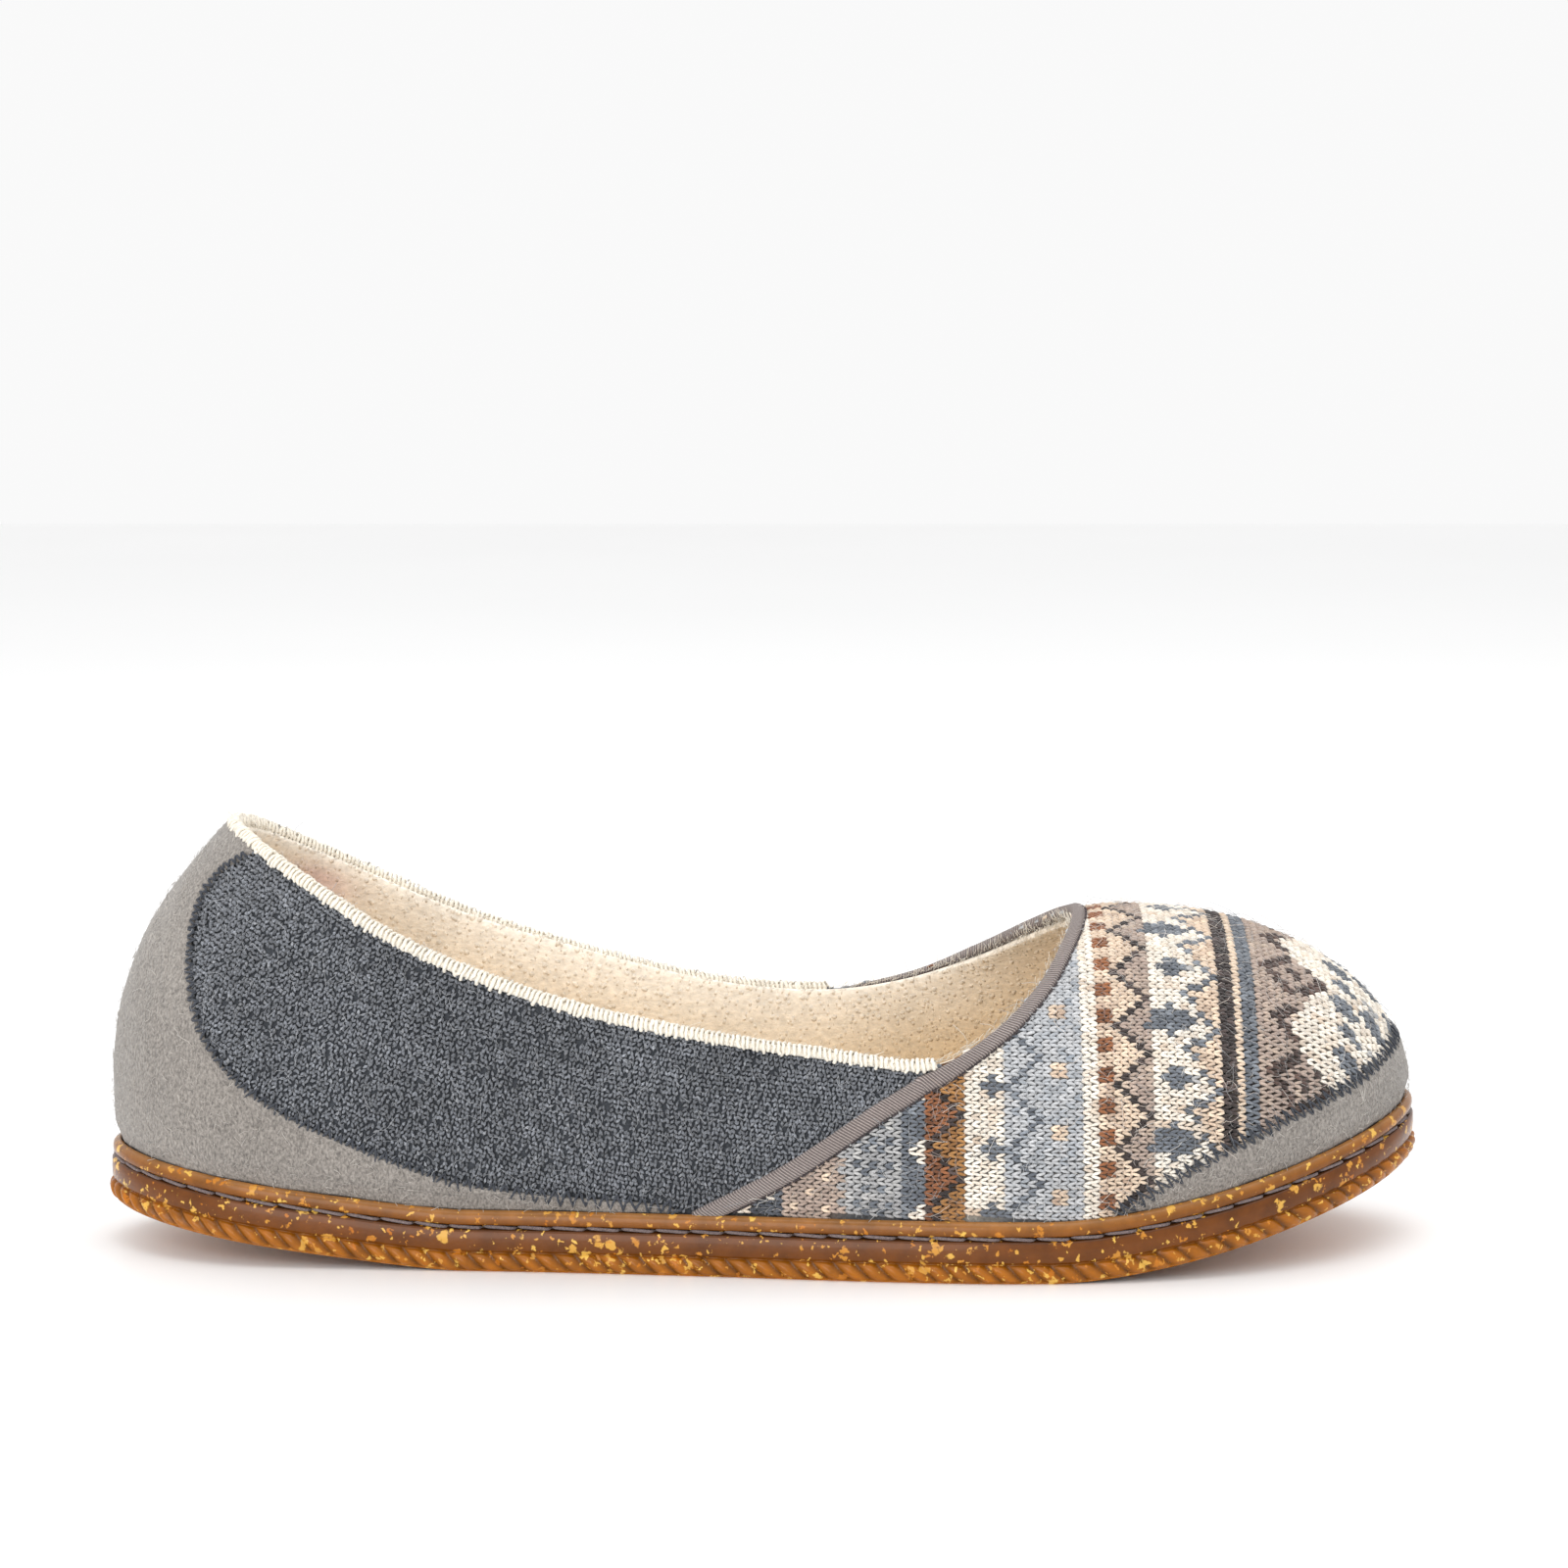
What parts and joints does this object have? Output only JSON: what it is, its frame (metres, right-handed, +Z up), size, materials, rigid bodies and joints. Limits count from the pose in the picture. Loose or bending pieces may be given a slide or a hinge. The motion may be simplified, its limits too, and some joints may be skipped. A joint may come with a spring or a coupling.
{
  "type": "knit ballet slipper",
  "caption": "Low-cut knit ballet slipper for the right foot, with a fleece lining, suede heel counter and toe bumper, a bound throat and a rubber cup sole.",
  "frame": {"origin": "on the floor, under the middle of the sole's outline", "axes": "+X towards the toe, +Y towards the foot's inner side, +Z up"},
  "size_m": [0.264, 0.095, 0.0853],
  "materials": {
    "gum_rubber": "glossy amber-brown gum rubber with gold flecks",
    "fleece": "cream fleece, brushed, with fine ribs",
    "knit": "fuzzy charcoal knit, and a patterned knit on the vamp",
    "suede": "grey suede with a short nap",
    "tape": "mauve-taupe twill tape",
    "edging": "thick cream overlock yarn"
  },
  "bodies": {
    "root": {"outsole": "gum_rubber", "insole": "fleece", "upper": "knit", "heel_counter": "suede", "toe_bumper": "suede", "throat_binding": "tape", "collar_edging": "edging"}
  },
  "joints": []
}
